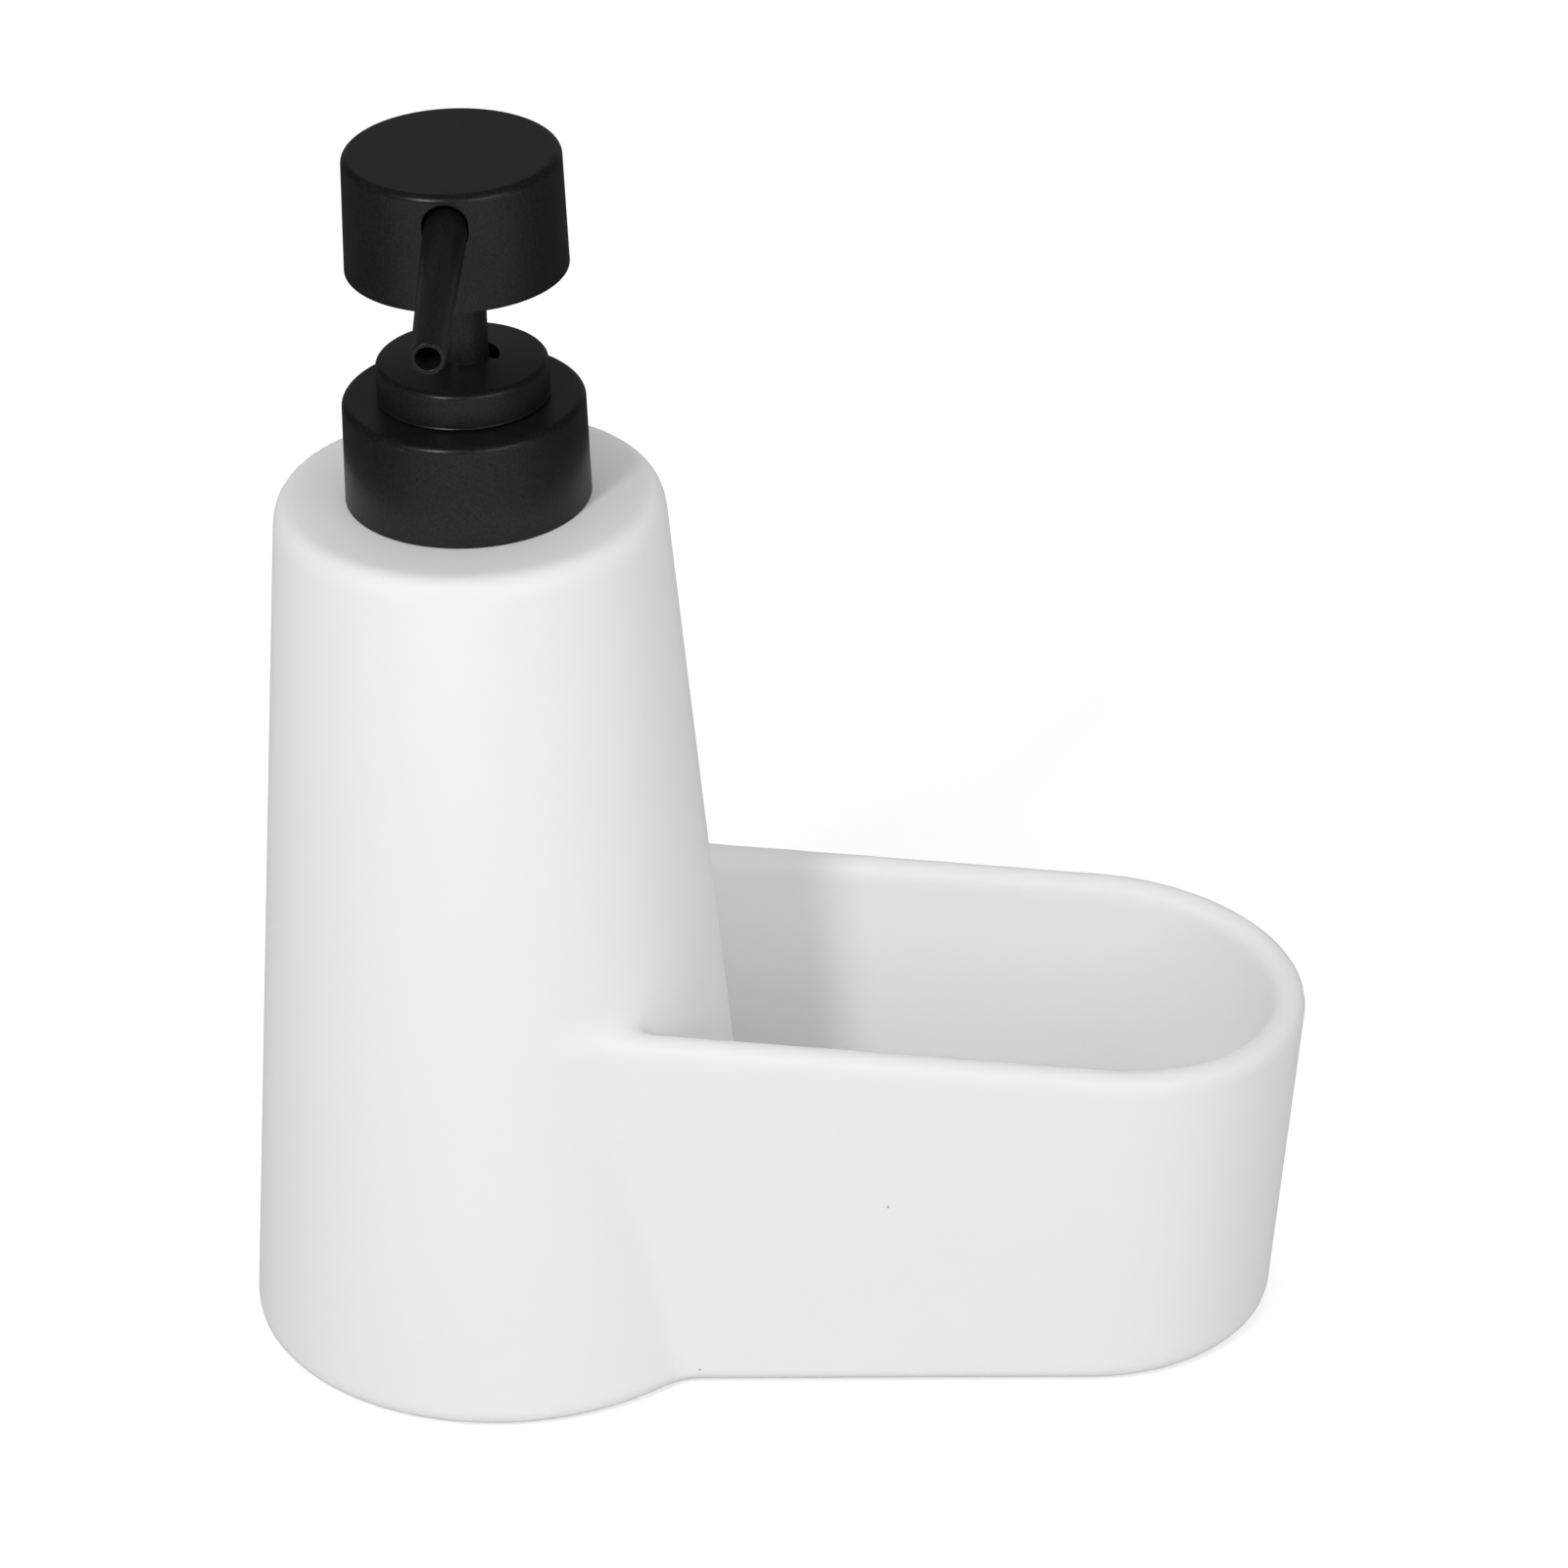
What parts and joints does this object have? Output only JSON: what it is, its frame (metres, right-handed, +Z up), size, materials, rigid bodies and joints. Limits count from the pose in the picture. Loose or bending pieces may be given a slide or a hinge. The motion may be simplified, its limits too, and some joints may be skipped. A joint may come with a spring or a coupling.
{
  "type": "soap pump caddy",
  "caption": "Ceramic soap bottle cast in one piece with a round-ended open tray, with a screw-on lotion pump whose head presses down and swivels.",
  "frame": {"origin": "on the pump's axis, on the surface that the pads stand on", "axes": "+Z up along the pump's axis, +X from the pump towards the tray's round end, the spout points to -Y at rest"},
  "size_m": [0.1708, 0.0945, 0.2044],
  "materials": {
    "white_ceramic": "matte",
    "black_plastic": "satin matte",
    "milky_plastic": "natural moulded",
    "grey_rubber": "matte",
    "steel": "drawn wire"
  },
  "bodies": {
    "caddy": {"caddy_body": "white_ceramic", "neck_seal": "grey_rubber", "neck_insert": "milky_plastic", "foot_pads": "grey_rubber"},
    "pump": {"pump_housing": "milky_plastic", "lock_ring": "black_plastic", "stem_wiper": "grey_rubber", "neck_gasket": "grey_rubber", "ball_cage": "milky_plastic", "dip_tube": "milky_plastic", "return_spring": "steel"},
    "collar": {"collar_shroud": "black_plastic", "screw_cap": "black_plastic"},
    "plunger": {"piston_seal": "grey_rubber"},
    "head": {"pump_stem": "black_plastic", "valve_plug": "milky_plastic", "head_core": "black_plastic", "head_shell": "black_plastic", "spout_tube": "black_plastic"},
    "inlet_ball": {"check_ball": "steel"}
  },
  "joints": [
    {"name": "pump_lift", "type": "slide", "parent": "caddy", "child": "pump", "axis": [0, 0, 1], "range_m": [0, 0.16]},
    {"name": "collar_turn", "type": "hinge", "parent": "pump", "child": "collar", "pos_m": [0, 0, 0.155], "axis": [0, 0, 1], "range_deg": [0, 540]},
    {"name": "pump_press", "type": "slide", "parent": "pump", "child": "plunger", "axis": [0, 0, -1], "range_m": [0, 0.014], "stiffness_N_per_m": 300, "springref_m": -0.02, "deforming": ["return_spring"]},
    {"name": "head_swivel", "type": "hinge", "parent": "plunger", "child": "head", "pos_m": [0, 0, 0.185], "axis": [0, 0, 1], "continuous": true},
    {"name": "ball_rise", "type": "slide", "parent": "pump", "child": "inlet_ball", "axis": [0, 0, 1], "range_m": [0, 0.0015]}
  ]
}
